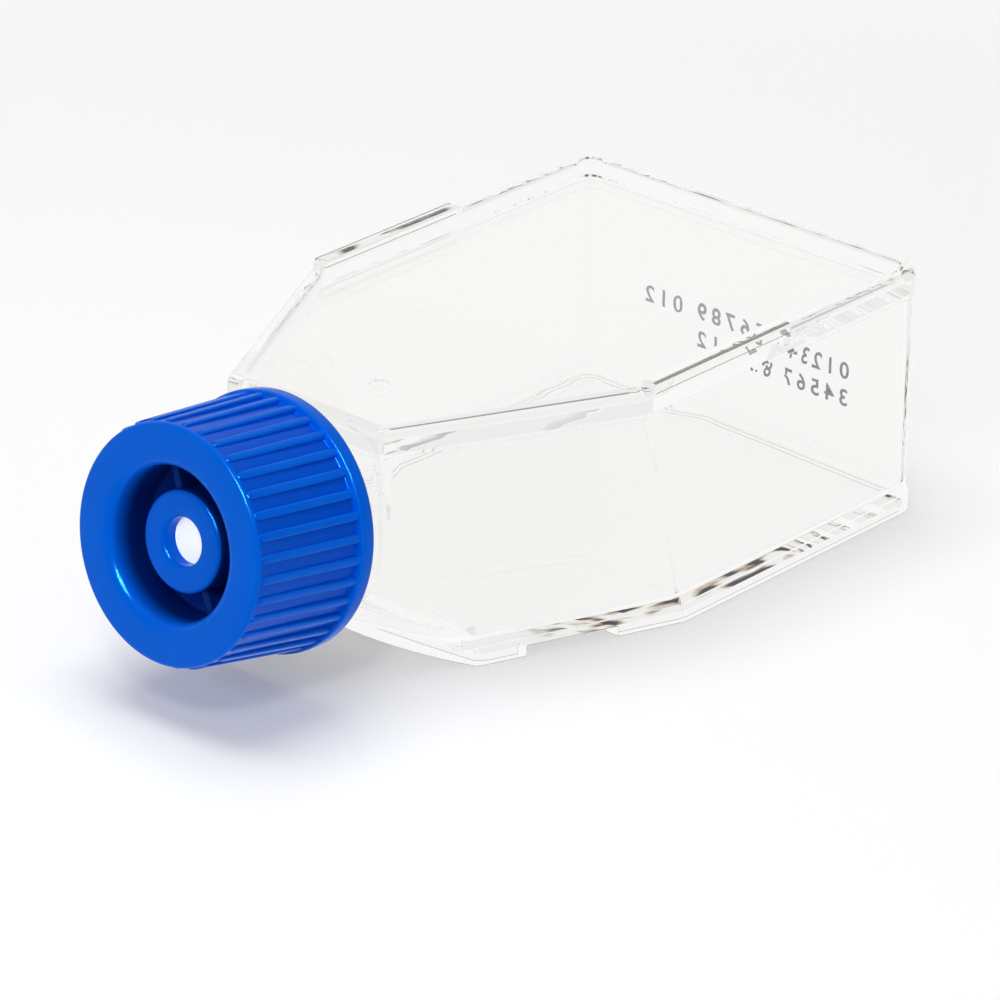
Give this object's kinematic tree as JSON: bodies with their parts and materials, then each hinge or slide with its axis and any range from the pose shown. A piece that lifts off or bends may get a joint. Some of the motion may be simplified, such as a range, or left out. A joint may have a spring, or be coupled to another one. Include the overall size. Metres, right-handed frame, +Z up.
{
  "type": "cell culture flask",
  "caption": "Clear rectangular cell culture flask lying flat, with a canted screw neck and a ribbed vented cap.",
  "frame": {"origin": "on the bench, under the middle of the whole flask with its cap on", "axes": "+Z up, +Y from the cap towards the back wall, +X across the flask"},
  "size_m": [0.0484, 0.093, 0.0318],
  "materials": {
    "clear_shell": "clear polystyrene",
    "clear_cover": "clear polystyrene",
    "cap": "satin moulded polyethylene",
    "membrane": "microporous membrane"
  },
  "bodies": {
    "flask": {"flask_body": "clear_shell", "top_cover": "clear_cover"},
    "vent": {"filter_membrane": "membrane"},
    "cap": {"cap_shell": "cap"}
  },
  "joints": [
    {"name": "cap_lift", "type": "slide", "parent": "flask", "child": "vent", "axis": [0, -0.987, 0.1607], "range_m": [0, 0.0161]},
    {"name": "cap_turn", "type": "hinge", "parent": "vent", "child": "cap", "pos_m": [0, -0.04451, 0.01929], "axis": [0, -0.987, 0.1607], "range_deg": [0, 1800]}
  ],
  "couplings": [
    {"joint": "cap_lift", "follows": "cap_turn", "m_per_rad": 0.0005093}
  ]
}
